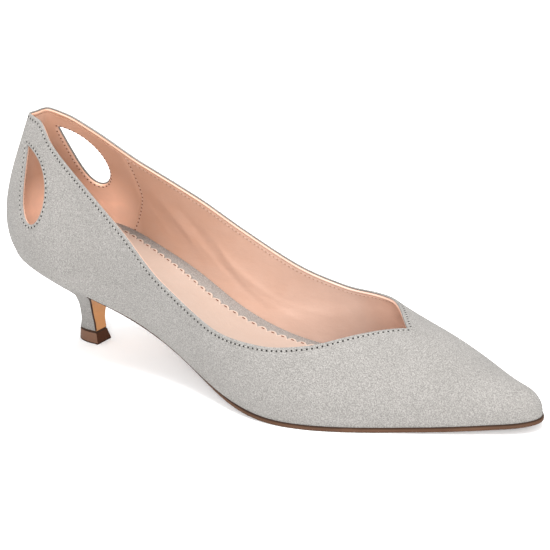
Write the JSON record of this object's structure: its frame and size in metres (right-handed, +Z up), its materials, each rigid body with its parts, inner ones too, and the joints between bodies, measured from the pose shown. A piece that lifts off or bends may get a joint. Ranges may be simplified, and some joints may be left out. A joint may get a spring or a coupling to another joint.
{
  "type": "kitten heel pump",
  "caption": "Pointed slip-on kitten heel pump in suede, with a V throat, teardrop cut-outs near the back and a slim covered heel.",
  "frame": {"origin": "middle of the bounding box in plan, on the floor that the shoe stands on", "axes": "+X from the heel to the toe, +Y towards the inner (medial) side of the right foot, +Z up"},
  "size_m": [0.2634, 0.0774, 0.1079],
  "materials": {
    "suede": "grey suede with a short matt nap",
    "sole_leather": "brown, satin",
    "tan_leather": "tan, smooth, satin",
    "rubber": "dark brown, satin",
    "board": "grey suede cover, matt",
    "lining": "peach, smooth, soft satin"
  },
  "bodies": {
    "root": {"upper": "suede", "outsole": "sole_leather", "heel": "suede", "breast_cover": "tan_leather", "top_piece": "rubber", "insole": "board", "sock_lining": "lining"}
  },
  "joints": []
}
